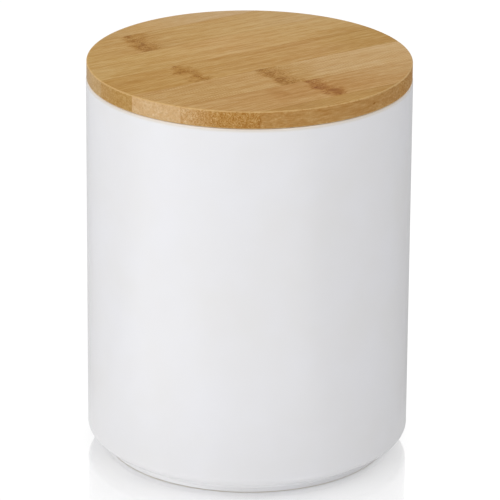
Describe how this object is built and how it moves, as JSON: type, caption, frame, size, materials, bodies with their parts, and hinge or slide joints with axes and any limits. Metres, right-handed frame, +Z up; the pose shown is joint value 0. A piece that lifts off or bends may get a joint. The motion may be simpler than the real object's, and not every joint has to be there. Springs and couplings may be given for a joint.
{
  "type": "bread bin",
  "caption": "Upright round glazed stoneware storage jar with a lift-off bamboo lid, whose plug and silicone seal close the mouth.",
  "frame": {"origin": "centre of the jar's foot on the surface that it stands on", "axes": "+Z up along the jar's axis; the lid's grain lies 34 degrees from +X towards +Y"},
  "size_m": [0.185, 0.185, 0.231],
  "materials": {
    "stoneware_glaze": "smooth glossy white glaze",
    "bamboo_tan": "sanded and oiled bamboo",
    "bamboo_pale": "sanded and oiled bamboo",
    "bamboo_brown": "sanded and oiled bamboo",
    "seal_silicone": "satin milky silicone"
  },
  "bodies": {
    "jar": {"jar": "stoneware_glaze"},
    "lid": {"lid_strip_1": "bamboo_tan", "lid_strip_2": "bamboo_tan", "lid_strip_3": "bamboo_pale", "lid_strip_4": "bamboo_brown", "lid_strip_5": "bamboo_pale", "lid_strip_6": "bamboo_tan", "lid_strip_7": "bamboo_tan", "plug_strip_1": "bamboo_tan", "plug_strip_2": "bamboo_brown", "plug_strip_3": "bamboo_pale", "plug_strip_4": "bamboo_tan", "plug_strip_5": "bamboo_brown", "plug_strip_6": "bamboo_pale", "seal_ring": "seal_silicone"}
  },
  "joints": [
    {"name": "lid_lift", "type": "slide", "parent": "jar", "child": "lid", "axis": [0, 0, 1], "range_m": [0, 0.15]}
  ]
}
